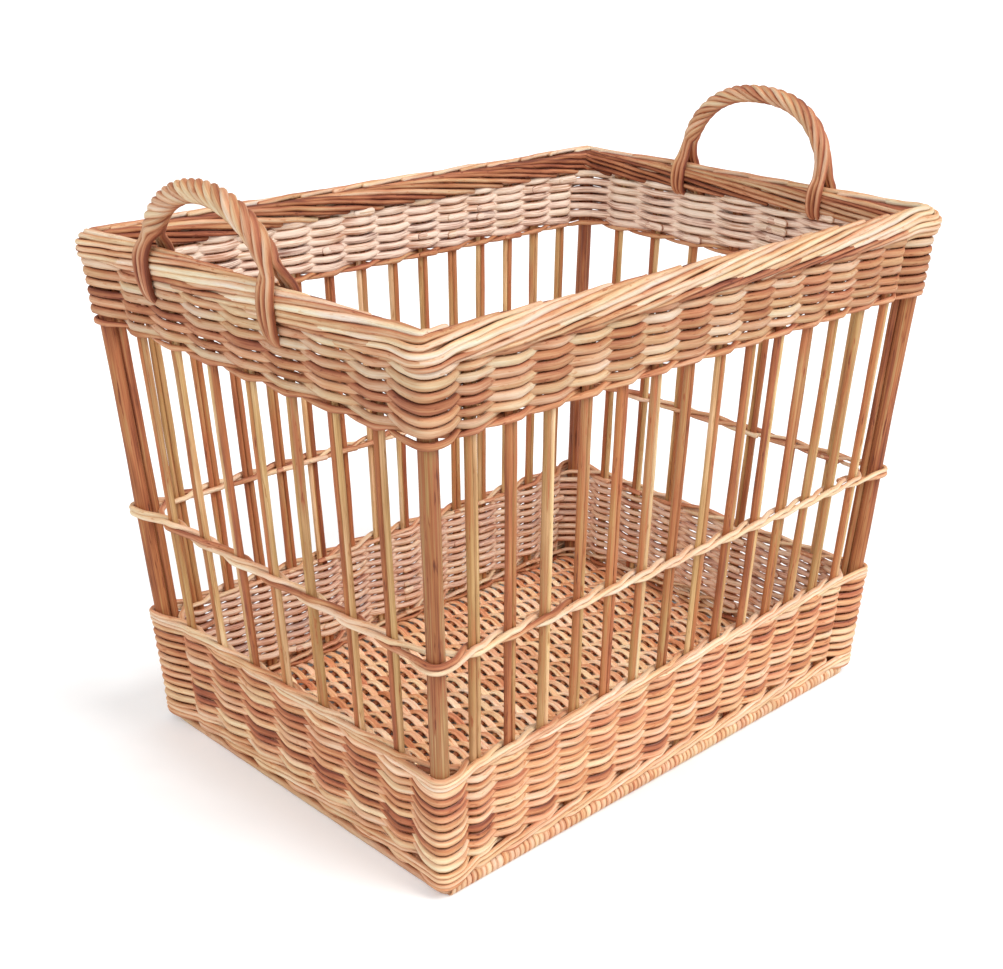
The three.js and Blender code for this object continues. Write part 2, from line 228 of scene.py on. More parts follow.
def willow(name, look):  # peeled willow with its grain along the rod
    finish = Finish(bpy.data.materials.new(name))
    grain = finish.node("ShaderNodeAttribute", {"attribute_name": "grain"}, {}, "Vector")
    rod = finish.node("ShaderNodeAttribute", {"attribute_name": "rod"}, {}, "Color")
    inner = rod.beside("Alpha")
    tone = finish.node("ShaderNodeSeparateXYZ", {}, {"Vector": rod}, "X")
    light, creaseShade = tone.beside("Y"), tone.beside("Z")
    streaks, blotches, fibres, stains, drifts = [
        finish.noise(grain, look[kind], *detail) for kind, detail in noises.items()
    ]
    stains = finish.between(stains, *surface["stain"])
    depth = tone + (streaks - 0.5) * look["streakDepth"] + (blotches - 0.5) * look["blotchDepth"]
    # painted shade: crease darkens each strand along its top and bottom, where it meets its neighbours, and at its
    # tips
    depth = depth - creaseShade * look["creaseShadeDepth"] - stains * look["stainDepth"]
    colour = finish.node("ShaderNodeValToRGB", {"stops": look["colours"]}, {"Fac": depth}, "Color")
    drift = finish.between(drifts, *hues["drift"])
    colour = finish.times(colour, finish.mixed(drift, hues["golden"], hues["rosy"]))
    speckle = (fibres - 0.5) * look["fibreDepth"]
    colour = finish.scaled(colour, light + speckle)
    # painted light on the inward side: the pale tint is brightened past its colour, and darkened by the painted
    # crease shade
    shade = innerTintAndLight["brightness"] + speckle + (streaks - 0.5) * innerTintAndLight["streaks"] - creaseShade * innerTintAndLight["creaseShade"]
    innerTintLit = finish.scaled(innerTintAndLight["colour"], shade)
    patchy = finish.between(streaks + (blotches - 0.5) * innerTintAndLight["patchBlotches"], *innerTintAndLight["patch"])
    colour = finish.mixed(inner * patchy * look["innerTintAndLightShare"], colour, innerTintLit)
    height = streaks * surface["bumpStreaks"] + fibres * surface["bumpFibres"]
    bump = finish.node("ShaderNodeBump", {}, {
        "Height": height, "Strength": look["bump"], "Distance": surface["bumpDistance"],
    }, "Normal")
    return finish.shown(finish.node("ShaderNodeBsdfPrincipled", {}, {
        "Base Color": colour, "Roughness": streaks * surface["roughStreaks"] + look["rough"], "Normal": bump,
        "Specular IOR Level": surface["gloss"],
    }))


looks = {
    "strand": {
        "colours": willowColours, "innerTintAndLightShare": 0.8,
        "streaks": (0.9, 0.9, 0.030), "blotches": (0.10, 0.10, 0.022), "fibres": (3.2, 3.2, 0.11),
        "drifts": (0.06, 0.06, 0.011),
        "stains": (0.35, 0.35, 0.10), "streakDepth": 0.55, "blotchDepth": 0.60, "creaseShadeDepth": 0.55,
        "stainDepth": 0.22, "fibreDepth": 0.54, "bump": 0.95, "rough": 0.52,
    },
    "stake": {
        "colours": stakeColours, "innerTintAndLightShare": 0.0,
        "streaks": (1.1, 1.1, 0.012), "blotches": (0.10, 0.10, 0.015), "fibres": (3.0, 3.0, 0.05),
        "drifts": (0.09, 0.09, 0.006),
        "stains": (0.35, 0.35, 0.05), "streakDepth": 0.60, "blotchDepth": 0.60, "creaseShadeDepth": 0.30,
        "stainDepth": 0.25, "fibreDepth": 0.30, "bump": 0.7, "rough": 0.50,
    },
    "post": {
        "colours": stakeColours, "innerTintAndLightShare": 0.0,
        "streaks": (0.75, 0.75, 0.006), "blotches": (0.12, 0.12, 0.014), "fibres": (2.4, 2.4, 0.03),
        "drifts": (0.12, 0.12, 0.008),
        "stains": (0.35, 0.35, 0.03), "streakDepth": 1.05, "blotchDepth": 0.75, "creaseShadeDepth": 0.30,
        "stainDepth": 0.34, "fibreDepth": 0.55, "bump": 0.9, "rough": 0.52,
    },
}
strandWillow = willow("peeledWillow", looks["strand"])
stakeWillow = willow("stakeWillow", looks["stake"])
postWillow = willow("postWillow", looks["post"])
print("materials made")


def placed(name, data):  # a new object in the scene
    made = bpy.data.objects.new(name, data)
    bpy.context.scene.collection.objects.link(made)
    return made


def strayed(most):
    return chance.uniform(-most, most)


def anyPhase():
    return chance.uniform(0, 6.3)


def grainShift():  # every rod has its own stretch of grain
    seed = chance.uniform(0, 4000)
    return np.array((seed * 0.7, 0, seed))


def blended(at, low, high, first, last):  # first at low, last at high
    return first * (high - at) / (high - low) + last * (at - low) / (high - low)


def evenPath(keys, spacing):  # a smooth path through the keys, which hold x, y, z and any sizes
    keys = np.array(keys, float)
    gaps = np.linalg.norm(np.diff(keys[:, :3], axis=0), axis=1)
    keys = keys[np.concatenate([[True], gaps > 0.05])]
    gaps = np.linalg.norm(np.diff(keys[:, :3], axis=0), axis=1)
    knots = np.concatenate([[0.0], np.cumsum(np.sqrt(gaps))])
    before, after = 2 * keys[0] - keys[1], 2 * keys[-1] - keys[-2]
    points = np.vstack([before, keys, after])
    knots = np.concatenate([[knots[0] - (knots[1] - knots[0])], knots, [2 * knots[-1] - knots[-2]]])
    pieces = []
    for i in range(1, len(points) - 2):
        steps = max(2, int(round(gaps[i - 1] / spacing)))
        at = np.linspace(knots[i], knots[i + 1], steps, endpoint=False)[:, None]
        k0, k1, k2, k3 = knots[i - 1:i + 3]
        p0, p1, p2, p3 = points[i - 1:i + 3]
        a = blended(at, k0, k1, p0, p1)
        b = blended(at, k1, k2, p1, p2)
        c = blended(at, k2, k3, p2, p3)
        d = blended(at, k0, k2, a, b)
        e = blended(at, k1, k3, b, c)
        piece = blended(at, k1, k2, d, e)
        share = (at - k1) / (k2 - k1)
        piece[:, 3:] = p1[3:] * (1 - share) + p2[3:] * share
        pieces.append(piece)
    pieces.append(keys[-1:])
    return np.vstack(pieces)


strandShape = {
    "waves": (3.1, 5.7, 11.0),  # lengths of the small swellings along a strand
    "endSize": 0.62, "tipReach": 1.25, "endCreaseShade": 0.8, "turnStray": 0.15,
    "innerTintSpread": 1.6,  # how far round the strand the pale inner tint and its painted light go
}


def tubeFaces(count, sides):  # the faces between count rings, then those round the two tips
    around = np.arange(sides)
    beside = (around + 1) % sides
    rows = np.arange(count - 1)[:, None] * sides
    quads = np.stack([rows + around, rows + sides + around, rows + sides + beside, rows + beside], axis=2)
    first, final = count * sides, (count - 1) * sides
    startCap = np.stack([np.full(sides, first), around, beside], axis=1)
    endCap = np.stack([np.full(sides, first + 1), final + beside, final + around], axis=1)
    return quads.reshape(-1, 4), startCap, endCap


class Bundle:
    # the strands of one piece, gathered before they become one mesh
    def __init__(self):
        self.corners, self.faces, self.grain, self.rod = [], [], [], []
        self.count = 0

    def strand(self, path, tone, light, across=None, sides=8, creaseShade=0.5, rough=0.05, blunt=0.6, inner=0.0):
        # path holds x, y, z, half thickness across and half thickness upwards, tone is one value or one a row
        place, wide, tall = path[:, :3], path[:, 3:4], path[:, 4:5]
        ahead = np.gradient(place, axis=0)
        ahead /= np.linalg.norm(ahead, axis=1, keepdims=True)
        if across is None:
            across = np.cross(ahead, (0, 0, 1))
        across = across - ahead * np.sum(across * ahead, axis=1, keepdims=True)
        across /= np.maximum(np.linalg.norm(across, axis=1, keepdims=True), 1e-6)
        upwards = np.cross(across, ahead)
        run = np.concatenate([[0.0], np.cumsum(np.linalg.norm(np.diff(place, axis=0), axis=1))])
        shift = grainShift()
        waves = sum(np.sin(run / length + anyPhase()) for length in strandShape["waves"])
        swell = 1 + rough * waves[:, None] / len(strandShape["waves"])
        wide, tall = wide * swell, tall * swell
        angles = np.arange(sides) * 2 * math.pi / sides + strayed(strandShape["turnStray"])
        cosines, sines = np.cos(angles), np.sin(angles)
        # one ring for each row of the path, and one smaller ring more at each end
        count = len(place) + 2
        ringRows = [0, *range(len(place)), len(place) - 1]
        pushes = [-blunt] + [0] * len(place) + [blunt]
        scales = [strandShape["endSize"]] + [1.0] * len(place) + [strandShape["endSize"]]
        rings, runs = [], []
        for row, push, size in zip(ringRows, pushes, scales):
            middle = place[row] + ahead[row] * push * tall[row]
            ring = middle + across[row] * (cosines[:, None] * wide[row] * size)
            rings.append(ring + upwards[row] * (sines[:, None] * tall[row] * size))
            runs.append((run[row] + push, float(wide[row, 0]), float(tall[row, 0])))
        tip = blunt * strandShape["tipReach"]
        tips = [place[:1] - ahead[:1] * tall[:1] * tip, place[-1:] + ahead[-1:] * tall[-1:] * tip]
        corners = np.vstack(rings + tips)
        self.faces += [faces + self.count for faces in tubeFaces(count, sides)]
        first, last = count * sides, count * sides + 1  # the two tips come after the rings
        lengths = np.array(runs)
        grain = np.zeros((len(corners), 3))
        grain[:first, 0] = (lengths[:, 1:2] * cosines).ravel()
        grain[:first, 1] = (lengths[:, 2:3] * sines).ravel()
        grain[:first, 2] = np.repeat(lengths[:, 0], sides)
        grain[last, 2] = lengths[-1, 0]
        grain += shift
        rod = np.zeros((len(corners), 4))
        rod[:first, 0] = np.repeat(np.broadcast_to(tone, len(place))[ringRows], sides)
        rod[first:, 0] = rod[first - 1, 0]
        rod[:, 1] = light
        # painted shade, strongest at the top and bottom of each ring where strands meet, and at the two tips
        rod[:first, 2] = np.tile(sines ** 2, count) * creaseShade
        rod[first:, 2] = strandShape["endCreaseShade"]
        rod[:first, 3] = np.tile(np.clip(-cosines * strandShape["innerTintSpread"], 0, 1), count) * inner
        self.corners.append(corners)
        self.grain.append(grain)
        self.rod.append(rod)
        self.count += len(corners)

    def piece(self, name, material, slot, node):
        corners = np.vstack(self.corners) * mm
        loops = np.concatenate([faces.ravel() for faces in self.faces])
        sizes = np.concatenate([np.full(len(faces), faces.shape[1]) for faces in self.faces])
        starts = np.concatenate([[0], np.cumsum(sizes)[:-1]])
        mesh = bpy.data.meshes.new(name)
        mesh.vertices.add(len(corners))
        mesh.vertices.foreach_set("co", corners.astype(np.float32).ravel())
        mesh.loops.add(len(loops))
        mesh.loops.foreach_set("vertex_index", loops.astype(np.int32))
        mesh.polygons.add(len(sizes))
        mesh.polygons.foreach_set("loop_start", starts.astype(np.int32))
        mesh.polygons.foreach_set("loop_total", sizes.astype(np.int32))
        mesh.update(calc_edges=True)
        mesh.polygons.foreach_set("use_smooth", np.ones(len(sizes), bool))
        noteRods(mesh, np.vstack(self.grain), np.vstack(self.rod))
        dress(placed(name, mesh), material, slot, node)


def noteRods(mesh, grain, rod):  # what the willow finish reads: place in the rod, and its tone
    layer = mesh.attributes.new("grain", "FLOAT_VECTOR", "POINT")
    layer.data.foreach_set("vector", grain.astype(np.float32).ravel())
    layer = mesh.attributes.new("rod", "FLOAT_COLOR", "POINT")
    layer.data.foreach_set("color", rod.astype(np.float32).ravel())


def dress(made, material, slot, *nodes):  # gives a finished piece its material and its place in the frame
    made.data.materials.clear()
    made.data.materials.append(material)
    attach(made, "root")
    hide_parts(*nodes)


def drawTone(kinds):  # kinds is a list of share, lowest tone, highest tone
    pick = chance.random() * sum(kind[0] for kind in kinds)
    for share, low, high in kinds:
        if pick <= share:
            break
        pick -= share
    return chance.uniform(low, high)


def drawLook(owner):
    tone = drawTone(owner["tones"])
    return tone, chance.uniform(*owner["light"])


undulation = {
    "height": 0.28, "shiftOver": 90.0,  # from level to level the waves move on along the wall
    "waves": [(anyPhase(), chance.choice((2, 3, 5, 7))) for _ in range(4)],
}


def lift(station, z):  # the slow rise and fall of the hand-laid courses
    turn = 2 * math.pi * station / stationCount
    shift = z / undulation["shiftOver"]
    return sum(math.sin(turn * count + phase + shift) for phase, count in undulation["waves"]) * undulation["height"]


passing = {  # how the strands pass stakes and posts, in millimetres and degrees
    "besideStake": 3.2, "stray": 0.25, "levelStray": 0.3,
    "besidePost": 9.5, "postGap": 1.2, "postAngles": (22, 45, 68), "insidePost": 5.0,
    "crossingLean": 0.2, "crossingStray": 0.3,  # beside a post a strand crosses the wall further from it
    "startReach": 1.7, "startShift": -11, "endReach": 1.2, "endShift": 7,  # the tucked-in ends of a strand
    "thick": (0.90, 1.10), "taper": (0.80, 1.0), "shortest": 0.6,
}


def courseKeys(course, station, phase):  # where one strand lies as it passes one stake or post
    outside = phase > 0
    side = 1 if outside else -1
    level = course["z"] + lift(station, course["z"])
    if outside:
        level += (phase - course["period"] / 2) * course["step"]
    wide, (tall, _, cornerTall) = course["wide"], course["tall"]
    reach = side * (basket["rodHalf"] + wide) + strayed(passing["stray"])
    level += strayed(passing["levelStray"]) * course["loose"]
    corner = cornerStations.get(station % stationCount)
    if corner is None:
        shifts = (-passing["besideStake"], passing["besideStake"])
        return [wallPoint(station, reach, level, shift) + [wide, tall] for shift in shifts]
    if outside:
        radius = basket["postRadius"] + wide
        offset = radius - passing["postGap"]
        justBefore = station - 0.01  # still on the wall that ends here
        arriving = wallPoint(justBefore, offset, level, -passing["besidePost"]) + [wide, tall]
        leaving = wallPoint(station, offset, level, passing["besidePost"]) + [wide, tall]
        turning = [cornerPoint(corner, angle, radius, level) + [wide, cornerTall] for angle in passing["postAngles"]]
        return [arriving] + turning + [leaving]
    inner = basket["tuckedReach"] + basket["tuckedRadius"] + wide
    shifts = (-passing["insidePost"], passing["insidePost"])
    return [cornerInside(corner, inner, shift, level) + [wide, tall] for shift in shifts]


def tuckedEnd(course, station, reach, shift):  # an end of a strand, on the inside of the wall behind a stake
    offset = -basket["rodHalf"] - course["wide"] * reach
    level = course["z"] + lift(station, course["z"])
    return wallPoint(station, offset, level, shift) + [course["wide"], course["tall"][0]]


def crossingKeys(course, station, phase):  # where a strand goes through the wall before the next stake
    nextPhase = (phase + 1) % course["period"]
    if (phase == 0) == (nextPhase == 0):
        return []
    lean = (station % stationCount in cornerStations) - ((station + 1) % stationCount in cornerStations)
    middle = station + 0.5 + passing["crossingLean"] * lean
    level = course["z"] + lift(middle, course["z"]) + (course["climb"] if nextPhase == 0 else -course["climb"])
    return [wallPoint(middle, strayed(passing["crossingStray"]), level) + [course["wide"], course["tall"][1]]]


def layCourse(bundle, course, start):
    # one strand after another, each joined to the next on the inside of the wall
    period = course["period"]
    stations = range(stationCount * (course["laps"] + 1))
    inner = [j for j in stations if (j + start) % period == 0 and j % stationCount not in cornerStations]
    inner = [j for j in inner if j <= inner[0] + course["laps"] * stationCount]
    joins = [inner[0]]
    while joins[-1] < inner[-1]:
        reach = joins[-1] + chance.randint(*course["rodLength"])
        later = [j for j in inner if j >= reach]
        room = course["rodLength"][0] * passing["shortest"]
        joins.append(later[0] if later and inner[-1] - later[0] > room else inner[-1])
    for begin, end in zip(joins[:-1], joins[1:]):
        thick, taper = chance.uniform(*passing["thick"]), chance.uniform(*passing["taper"])
        keys = []
        for station in range(begin, end + 1):
            phase = (station + start) % period
            keys += courseKeys(course, station, phase)
            if station == begin:
                keys[0] = tuckedEnd(course, station, passing["startReach"], passing["startShift"])
            if station < end:
                keys += crossingKeys(course, station, phase)
        keys[-1] = tuckedEnd(course, end, passing["endReach"], passing["endShift"])
        keys = np.array(keys)
        keys[:, 3:] *= np.linspace(1, taper, len(keys))[:, None] * thick
        path = evenPath(keys, course["spacing"])
        bundle.strand(path, *drawLook(course), sides=course["sides"], inner=course["inner"])


def band(name, slot, node, courses):
    bundle = Bundle()
    for course in courses:
        for start in course["starts"]:
            layCourse(bundle, course, start)
    bundle.piece(name, strandWillow, slot, node)


warmTones = [(4, 0.56, 0.80), (4, 0.42, 0.60), (2, 0.28, 0.44)]  # share, darkest, palest


def course(z, **changes):
    # period 2 goes behind every other stake, step and climb part the strands of a wale, inner is the share of the
    # pale inner tint with its painted light
    made = {
        "z": z, "period": 2, "laps": 1, "starts": [0], "step": 0.0, "climb": 0.0, "loose": 1.0,
        "wide": 2.3, "tall": (3.2, 2.75, 3.8),  # beside the stakes, between them and round the posts
        "spacing": 3.8, "sides": 8, "rodLength": (9, 17), "tones": warmTones, "light": (0.92, 1.08), "inner": 0.8,
    }
    made.update(changes)
    return made


lowerTones = [(5, 0.52, 0.78), (3, 0.42, 0.60), (1.2, 0.30, 0.44), (0.4, 0.20, 0.32)]
lowerRand = {"bottom": 25.4, "step": 3.75, "rows": 21}
# painted light: the lower band's rows have light above 1, which makes them paler than their colour
rows = [
    course(lowerRand["bottom"] + lowerRand["step"] * row, starts=[row % 2], tall=(3.25, 3.0, 3.5),
           tones=lowerTones, light=(1.02, 1.18), sides=7)
    for row in range(lowerRand["rows"])
]
upsett = course(17.2, period=4, laps=2, starts=[0, 1], step=4.4, wide=2.5, tall=(2.15, 2.0, 2.15), climb=4.2,
                tones=[(3, 0.66, 0.9), (2, 0.5, 0.66)], light=(1.0, 1.12), inner=0.2, sides=7)
rows += [course(10.4, starts=[start], tall=(2.1, 2.0, 2.1), inner=0.0) for start in (0, 1)]
band("lowerWeave", "woven_willow", "lower_rand", [upsett] + rows)

lowerWale = course(105.0, period=4, laps=2, starts=[0, 1], step=3.3, wide=2.5, tall=(1.95, 1.8, 1.95), climb=2.6,
                   tones=[(4, 0.6, 0.88), (1, 0.45, 0.6)], light=(0.98, 1.12), inner=0.1)
band("lowerWale", "woven_willow", "lower_wale", [lowerWale])

waistWale = course(203.8, period=3, laps=3, step=4.3, wide=2.5, tall=(2.3, 2.1, 2.3), climb=2.2,
                   tones=[(4, 0.56, 0.84), (2, 0.4, 0.6)], light=(0.98, 1.1), inner=0.1)
band("waistWale", "woven_willow", "waist_pairing", [waistWale])

upperTones = [(4, 0.54, 0.84), (3, 0.42, 0.58), (1.5, 0.28, 0.44), (0.5, 0.20, 0.30)]
upperRand = {"bottom": 376.6, "step": 3.98, "rows": 12, "topBottom": 424.4, "topRows": 3}
twined = {"tall": (3.0, 1.8, 3.2), "climb": 1.7, "light": (0.90, 1.06), "inner": 0.0}
rows = [course(371.0, starts=[start], **twined) for start in (0, 1)]
# painted shade: these rows and the three top rows have light below 1, which darkens their colour
rows += [
    course(upperRand["bottom"] + upperRand["step"] * row, starts=[row % 2], wide=2.5, tall=(3.8, 3.5, 3.95),
           light=(0.79, 0.96), inner=1.0, loose=1.5, tones=upperTones)
    for row in range(upperRand["rows"])
]
rows += [
    course(upperRand["topBottom"] + upperRand["step"] * row, starts=[row % 2], wide=1.6, tall=(3.1, 2.75, 3.0),
           light=(0.76, 0.92), inner=0.3)
    for row in range(upperRand["topRows"])
]
band("upperWeave", "woven_willow", "upper_rand", rows)
print("bands woven")

# the border: at each stake one strand climbs over the rim, one is laid in below it and one runs along the inside
border = {
    "top": 446.0, "postExtra": 5.2, "nearPost": 0.35,
    "deepFrom": 5.0, "deepOver": 7.0,  # how far below the top the strands start to go round the posts
    "outsideGap": 0.5, "outsideTurn": 150.0, "insideGap": 2.0, "insideExtra": 2.5, "insideTurn": 12.0,
    "thick": (0.86, 1.14), "stray": 0.35, "levelStray": 0.45, "routeStray": 0.6, "endStray": 0.15, "highest": -1.6,
    "butt": 1.08, "taper": 0.18, "creaseShade": 0.8, "spacing": 4.0,
    "keysPassing": (0.0, 0.5), "keysAtCorner": (-0.26, 0.0, 0.26, 0.5),  # in bays
    "routes": [
        {
            "half": 2.5, "tones": [(5, 0.76, 1.0), (2, 0.58, 0.76)], "light": (0.90, 1.04),
            "stops": [  # bays along, outwards, below the top
                (0.00, 1.0, -25.0), (0.50, 3.4, -20.5), (1.00, 6.6, -16.6), (2.00, 7.4, -12.0),
                (3.00, 6.9, -7.6), (3.80, 4.6, -4.2), (4.60, 1.2, -2.6), (5.20, -1.8, -2.3), (5.70, -4.0, -2.9),
            ],
        },
        {
            "half": 2.3, "tones": [(4, 0.5, 0.8), (2, 0.3, 0.5)], "light": (0.86, 1.04),
            "stops": [
                (-0.10, 1.0, -27.0), (0.45, 3.6, -23.6), (1.00, 6.4, -21.6), (2.00, 6.9, -17.4),
                (2.80, 4.6, -12.6), (3.50, 1.0, -9.6), (4.20, -4.2, -9.0), (4.90, -6.6, -10.4), (5.40, -5.2, -12.5),
            ],
        },
        {
            "half": 2.4, "tones": [(4, 0.22, 0.48), (2, 0.5, 0.72)], "light": (0.84, 1.0),
            "stops": [
                (0.30, -2.5, -24.0), (1.00, -6.4, -20.5), (2.00, -7.6, -15.5), (3.00, -8.0, -10.5),
                (4.00, -7.6, -6.8), (5.00, -6.4, -5.0), (5.80, -3.8, -6.0),
            ],
        },
    ],
}


def borderPoint(station, offset, below):
    z = border["top"] + below
    nearest = round(station)
    corner = cornerStations.get(nearest % stationCount)
    away = station - nearest
    if corner is None or abs(away) > border["nearPost"]:
        return wallPoint(station, offset, z)
    # above the post's end a strand cuts the corner, below it the strand goes round the post
    deep = min(1.0, max(0.0, (-below - border["deepFrom"]) / border["deepOver"]))
    if offset > 0:
        radius = offset + border["outsideGap"] + border["postExtra"] * deep
        return cornerPoint(corner, 45 + away * border["outsideTurn"], radius, z)
    reach = border["insideGap"] - offset * math.sqrt(2) + border["insideExtra"] * deep
    return cornerInside(corner, reach, away * border["insideTurn"], z)


bundle = Bundle()
for station in range(stationCount):
    for route in border["routes"]:
        stops = np.array(route["stops"])
        higher = strayed(border["routeStray"])
        half = route["half"] * chance.uniform(*border["thick"])
        begin, end = stops[0, 0], stops[-1, 0] + strayed(border["endStray"])
        places = {begin, end}
        for whole in range(int(begin) - 1, int(end) + 2):
            atCorner = (station + whole) % stationCount in cornerStations
            places.update(whole + part for part in border["keysAtCorner" if atCorner else "keysPassing"])
        keys = []
        for place in sorted(place for place in places if begin <= place <= end):
            size = half * (border["butt"] - border["taper"] * (place - begin) / (end - begin))
            offset = np.interp(place, stops[:, 0], stops[:, 1]) + strayed(border["stray"])
            below = np.interp(place, stops[:, 0], stops[:, 2]) + higher + strayed(border["levelStray"])
            keys.append(borderPoint(station + place, offset, min(below, border["highest"])) + [size, size])
        bundle.strand(evenPath(keys, border["spacing"]), *drawLook(route), creaseShade=border["creaseShade"])
bundle.piece("borderPlait", strandWillow, "woven_willow", "border")
print("border laid")

floorWeave = {
    "pitch": 5.7, "reach": 245.0, "overWide": 3.6, "underWide": 4.3, "tall": 1.4, "under": 2.2, "over": 9.0,
    "besideStick": 2.8, "stray": 0.3, "endY": 176.6, "endZ": 6.0, "spacing": 4.0, "thick": (0.9, 1.06),
    "insetFrom": 238.0, "inset": 6.0,  # the last strands on the left and right are shorter
    # painted light: light above 1 makes the floor's strands paler than their colour, against the shade inside the
    # basket
    "tones": [(5, 0.68, 0.92), (2, 0.52, 0.68)], "light": (1.28, 1.44), "sides": 7, "rough": 0.02,
}
edgeRoll = {  # the strands' ends, wrapped round the front and back edges
    "y": 179.6, "z": 5.75, "radius": 4.75, "flatness": 0.85, "from": -251.0, "to": 246.5,
    "width": (4.6, 6.8), "turns": 1.04, "rings": 17, "skew": 0.35, "tall": 0.92, "overlap": 0.97,
    "paleTone": (0.66, 0.80), "darkTone": (0.56, 0.66), "light": (0.92, 1.06), "creaseShade": 0.6, "blunt": 0.1,
}
sideRods = {  # two long rods along each short edge, the lower one turned in at its ends
    "keys": 24, "spacing": 5.0, "rough": 0.06, "stray": 0.2,
    "lower": {"x": 252.85, "z": 3.4, "half": [2.9, 3.1], "to": 171.0, "tone": 0.62, "light": 0.98},
    "upper": {"x": 247.65, "z": 5.4, "half": [2.4, 2.6], "to": 170.0, "tone": 0.55, "light": 0.95},
    "turnedIn": [(1.2, 177.0, 2.8, 3.0), (6.5, 179.0, 2.6, 2.8)],  # inwards, along, half width, half height
}
bundle = Bundle()
count = int(2 * floorWeave["reach"] / floorWeave["pitch"])
for index in range(count + 1):
    x = -floorWeave["reach"] + index * 2 * floorWeave["reach"] / count
    thick = chance.uniform(*floorWeave["thick"])
    tall = floorWeave["tall"]
    half = [floorWeave["overWide"] * thick, tall]
    edge = floorWeave["reach"] - floorWeave["insetFrom"]
    inset = floorWeave["inset"] * max(0, (abs(x) - floorWeave["insetFrom"]) / edge)
    keys = [[x, -floorWeave["endY"] + inset, floorWeave["endZ"]] + half]
    for place, row in enumerate(stickRows):
        above = (index + place) % 2
        level = floorWeave["over"] if above else floorWeave["under"]
        wide = floorWeave["overWide" if above else "underWide"] * thick
        for shift in (-floorWeave["besideStick"], floorWeave["besideStick"]):
            keys.append([x + strayed(floorWeave["stray"]), row + shift, level, wide, tall])
    keys.append([x, floorWeave["endY"] - inset, floorWeave["endZ"]] + half)
    path = evenPath(keys, floorWeave["spacing"])
    path[:, 2] = np.clip(path[:, 2], floorWeave["under"], floorWeave["over"])
    bundle.strand(path, *drawLook(floorWeave), sides=floorWeave["sides"], rough=floorWeave["rough"])


def wrapRoll(bundle, side):
    x = edgeRoll["from"]
    rings = edgeRoll["rings"]
    middle = np.array([0, side * edgeRoll["y"], edgeRoll["z"]])
    pale = True
    while x < edgeRoll["to"]:
        width = chance.uniform(*edgeRoll["width"])
        turns = np.linspace(0, 2 * math.pi * edgeRoll["turns"], rings)
        place = np.stack([
            x + width / 2 + (turns / (2 * math.pi) - 0.5) * width * edgeRoll["skew"] * side,
            middle[1] + edgeRoll["radius"] * edgeRoll["flatness"] * np.sin(turns),
            middle[2] - edgeRoll["radius"] * np.cos(turns),
        ], axis=1)
        across = (place - middle) * (0, 1, 1)
        path = np.hstack([place, np.full((rings, 1), edgeRoll["tall"]), np.full((rings, 1), width * 0.5)])
        tone = chance.uniform(*edgeRoll["paleTone" if pale else "darkTone"])
        bundle.strand(path, tone, chance.uniform(*edgeRoll["light"]), across=across,
                      creaseShade=edgeRoll["creaseShade"], rough=0.0, blunt=edgeRoll["blunt"])
        pale = not pale if chance.random() < 0.5 else pale
        x += width * edgeRoll["overlap"]


wrapRoll(bundle, -1)
wrapRoll(bundle, 1)
for side in (-1, 1):
    for rod in (sideRods["lower"], sideRods["upper"]):
        x, z = rod["x"], rod["z"]
        keys = [[side * x, y, z] + rod["half"] for y in np.linspace(-rod["to"], rod["to"], sideRods["keys"]) * side]
        if rod is sideRods["lower"]:
            keys = [key[:2] + [z + strayed(sideRods["stray"])] + key[3:] for key in keys]
            ends = [[side * (x - reach), side * y, z, wide, tall] for reach, y, wide, tall in sideRods["turnedIn"]]
            keys = [[end[0], -end[1]] + end[2:] for end in reversed(ends)] + keys + ends
        bundle.strand(evenPath(keys, sideRods["spacing"]), rod["tone"], rod["light"], rough=sideRods["rough"])
bundle.piece("floorWeave", strandWillow, "woven_willow", "base_weave")
print("floor woven")

rodShape = {
    "reach": 1.35, "creaseShade": 0.15, "eased": 0.3, "smoothBelow": 50,
    "fineSwell": (0.6, 2.7), "ridges": (0.5, 3, 60.0),  # strength, how often, and how slowly the ridges wind
    "swayX": (0.25, 47.0), "swayY": (0.2, 61.0),
}


def rodFinish(made, rods):  # grain and colour for rods that were turned from a cylinder
    mesh = made.data
    corners = np.zeros(len(mesh.vertices) * 3)
    mesh.vertices.foreach_get("co", corners)
    corners = corners.reshape(-1, 3) / mm
    grain, rod = np.zeros_like(corners), np.zeros((len(corners), 4))
    for middle, radius, tone, light in rods:
        away = corners[:, :2] - np.array(middle)
        near = np.linalg.norm(away, axis=1) < radius * rodShape["reach"]
        grain[near, :2] = away[near]
        grain[near, 2] = corners[near, 2]
        grain[near] += grainShift()
        rod[near] = (tone, light, rodShape["creaseShade"], 0)
    noteRods(mesh, grain, rod)


